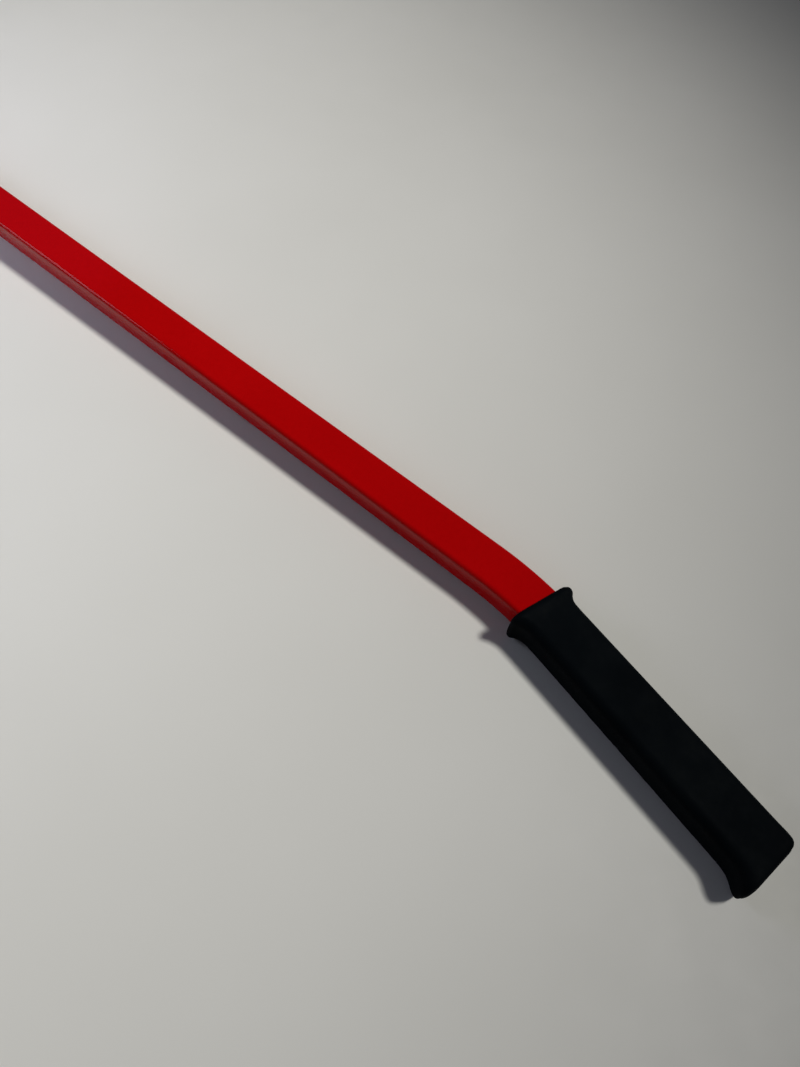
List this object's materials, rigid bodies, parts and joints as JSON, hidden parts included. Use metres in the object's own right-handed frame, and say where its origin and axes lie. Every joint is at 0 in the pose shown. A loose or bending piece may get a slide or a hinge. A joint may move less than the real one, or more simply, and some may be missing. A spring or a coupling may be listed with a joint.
{
  "type": "felling lever",
  "caption": "Long steel felling lever with a toothed tongue, a bent rubber-gripped handle and a swinging turning hook.",
  "frame": {"origin": "middle of the bounding box in X and Y, at the height of the tongue's lower side edge and the bolt's free end", "axes": "+X along the tube from the tongue towards the grip, +Y towards the side that is up when the lever is in use, +Z across the lever, up when it lies on its side"},
  "size_m": [1.3025, 0.2109, 0.063],
  "materials": {
    "tube_paint": "gloss powder coat",
    "forging_paint": "gloss powder coat over a forged surface",
    "zinc_plate": "bright zinc",
    "nylon": "satin",
    "plug_plastic": "moulded",
    "grip_rubber": "matt moulded rubber"
  },
  "bodies": {
    "lever": {"lever_tube": "tube_paint", "tongue": "forging_paint", "tongue_weld": "forging_paint", "tang_rivets": "forging_paint", "upper_cheek": "tube_paint", "lower_cheek": "tube_paint", "upper_cheek_weld": "forging_paint", "lower_cheek_weld": "forging_paint", "pivot_bush": "zinc_plate", "upper_spacer": "zinc_plate", "lower_spacer": "zinc_plate", "pivot_bolt": "zinc_plate", "head_washer": "zinc_plate", "nut_washer": "zinc_plate", "lock_nut": "zinc_plate", "nut_insert": "nylon", "tube_plug": "plug_plastic", "grip": "grip_rubber"},
    "hook": {"cant_hook": "forging_paint"}
  },
  "joints": [
    {"name": "hook_swing", "type": "hinge", "parent": "lever", "child": "hook", "pos_m": [-0.41685, 0.03734, 0.0315], "axis": [0, 0, 1], "range_deg": [-34.5, 89]}
  ]
}
